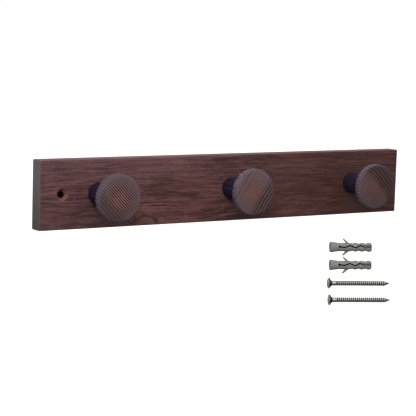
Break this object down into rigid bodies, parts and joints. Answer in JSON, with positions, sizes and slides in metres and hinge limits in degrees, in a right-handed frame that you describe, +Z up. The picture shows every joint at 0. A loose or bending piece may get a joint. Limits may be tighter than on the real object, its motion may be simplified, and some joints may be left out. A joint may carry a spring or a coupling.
{
  "type": "wall coat rack",
  "caption": "Wall coat rack: a flat walnut board with turned mushroom pegs, shown with its loose wall plugs and countersunk screws.",
  "frame": {"origin": "centre of the board's back face, which lies against the wall", "axes": "+Z up the wall, +X along the board to the right as seen from the room, +Y into the wall, pegs point to -Y"},
  "size_m": [0.45, 0.062, 0.1736],
  "materials": {
    "walnut": "satin",
    "stained_wood": "satin",
    "nickel_steel": "satin",
    "zinc_steel": "satin",
    "grey_nylon": "matte"
  },
  "bodies": {
    "rack": {"board": "walnut", "peg_left": "stained_wood", "peg_middle": "stained_wood", "peg_right": "stained_wood", "peg_screw_left": "zinc_steel", "peg_screw_middle": "zinc_steel", "peg_screw_right": "zinc_steel"},
    "plug_upper": {"wall_plug_upper": "grey_nylon"},
    "plug_lower": {"wall_plug_lower": "grey_nylon"},
    "screw_upper": {"wall_screw_upper": "nickel_steel"},
    "screw_lower": {"wall_screw_lower": "nickel_steel"}
  },
  "joints": [
    {"name": "plug_upper_lift", "type": "slide", "parent": "rack", "child": "plug_upper", "axis": [0, -1, 0], "range_m": [0, 0.08]},
    {"name": "plug_lower_lift", "type": "slide", "parent": "rack", "child": "plug_lower", "axis": [0, -1, 0], "range_m": [0, 0.08]},
    {"name": "screw_upper_lift", "type": "slide", "parent": "rack", "child": "screw_upper", "axis": [0, -1, 0], "range_m": [0, 0.08]},
    {"name": "screw_lower_lift", "type": "slide", "parent": "rack", "child": "screw_lower", "axis": [0, -1, 0], "range_m": [0, 0.08]}
  ]
}
